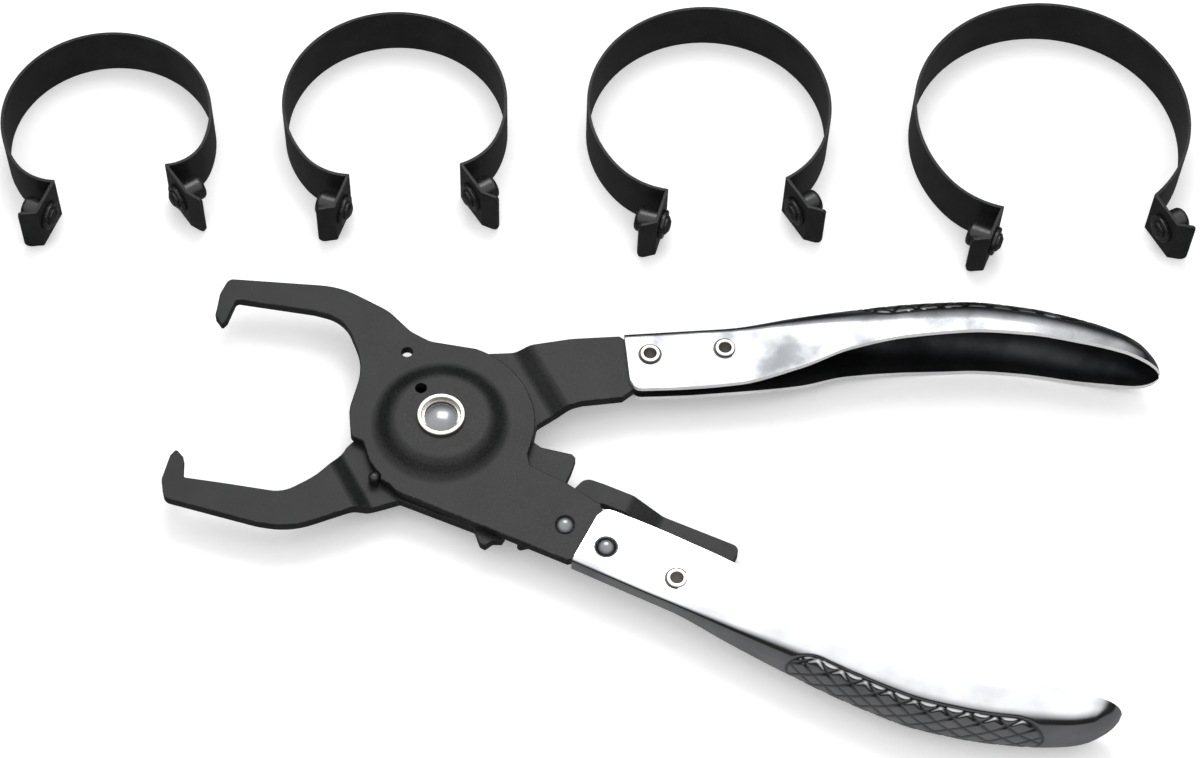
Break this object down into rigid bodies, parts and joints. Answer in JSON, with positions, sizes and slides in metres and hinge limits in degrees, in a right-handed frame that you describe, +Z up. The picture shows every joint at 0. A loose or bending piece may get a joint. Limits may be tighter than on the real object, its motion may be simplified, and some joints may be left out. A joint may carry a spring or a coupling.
{
  "type": "ring compressor pliers",
  "caption": "Ratcheting band pliers with hooked black jaws and long bright channel grips, laid out with loose open steel ring bands of rising size.",
  "frame": {"origin": "centre of the whole kit's bounding box in plan, on the surface it lies on", "axes": "+X from the jaws towards the grip ends, along the row of bands; +Y from the pliers towards the bands; +Z up, square to the levers"},
  "size_m": [0.3366, 0.2336, 0.023],
  "materials": {
    "black_steel": "satin",
    "black_fixing": "gloss",
    "bright_handle": "bright nickel plate",
    "bright_fixing": "zinc plate",
    "spring_wire": "drawn wire"
  },
  "bodies": {
    "fixed_half": {"front_lever": "black_steel", "lower_handle": "bright_handle", "lower_handle_rivet": "black_fixing", "lower_handle_eyelet": "bright_fixing", "pivot_collar": "bright_fixing", "pivot_rivet": "black_fixing", "pivot_rear_washer": "black_fixing", "pawl_rivet": "black_fixing", "opening_spring": "spring_wire", "pawl_spring": "spring_wire"},
    "moving_half": {"rear_lever": "black_steel", "upper_handle": "bright_handle", "upper_handle_front_eyelet": "bright_fixing", "upper_handle_rear_eyelet": "bright_fixing", "stop_peg": "black_fixing"},
    "thumb_lever": {"ratchet_lever": "black_steel"},
    "band_59": {"band_59_strip": "black_steel", "band_59_left_drum": "black_fixing", "band_59_left_washer": "black_fixing", "band_59_right_drum": "black_fixing", "band_59_right_washer": "black_fixing"},
    "band_64": {"band_64_strip": "black_steel", "band_64_left_drum": "black_fixing", "band_64_left_washer": "black_fixing", "band_64_right_drum": "black_fixing", "band_64_right_washer": "black_fixing"},
    "band_70": {"band_70_strip": "black_steel", "band_70_left_drum": "black_fixing", "band_70_left_washer": "black_fixing", "band_70_right_drum": "black_fixing", "band_70_right_washer": "black_fixing"},
    "band_79": {"band_79_strip": "black_steel", "band_79_left_drum": "black_fixing", "band_79_left_washer": "black_fixing", "band_79_right_drum": "black_fixing", "band_79_right_washer": "black_fixing"}
  },
  "joints": [
    {"name": "lever_pivot", "type": "hinge", "parent": "fixed_half", "child": "moving_half", "pos_m": [-0.0382, -0.0319, 0.0115], "axis": [0, 0, -1], "range_deg": [0, 24], "stiffness_Nm_per_rad": 0.05, "springref_deg": -34.38},
    {"name": "pawl_pivot", "type": "hinge", "parent": "fixed_half", "child": "thumb_lever", "pos_m": [-0.004, -0.0612, 0.00835], "axis": [0, 0, -1], "range_deg": [0, 7.5], "stiffness_Nm_per_rad": 0.02, "springref_deg": -14.32},
    {"name": "band_59_lift", "type": "slide", "parent": "fixed_half", "child": "band_59", "axis": [0, 0, 1], "range_m": [0, 0.06]},
    {"name": "band_64_lift", "type": "slide", "parent": "fixed_half", "child": "band_64", "axis": [0, 0, 1], "range_m": [0, 0.06]},
    {"name": "band_70_lift", "type": "slide", "parent": "fixed_half", "child": "band_70", "axis": [0, 0, 1], "range_m": [0, 0.06]},
    {"name": "band_79_lift", "type": "slide", "parent": "fixed_half", "child": "band_79", "axis": [0, 0, 1], "range_m": [0, 0.06]}
  ]
}
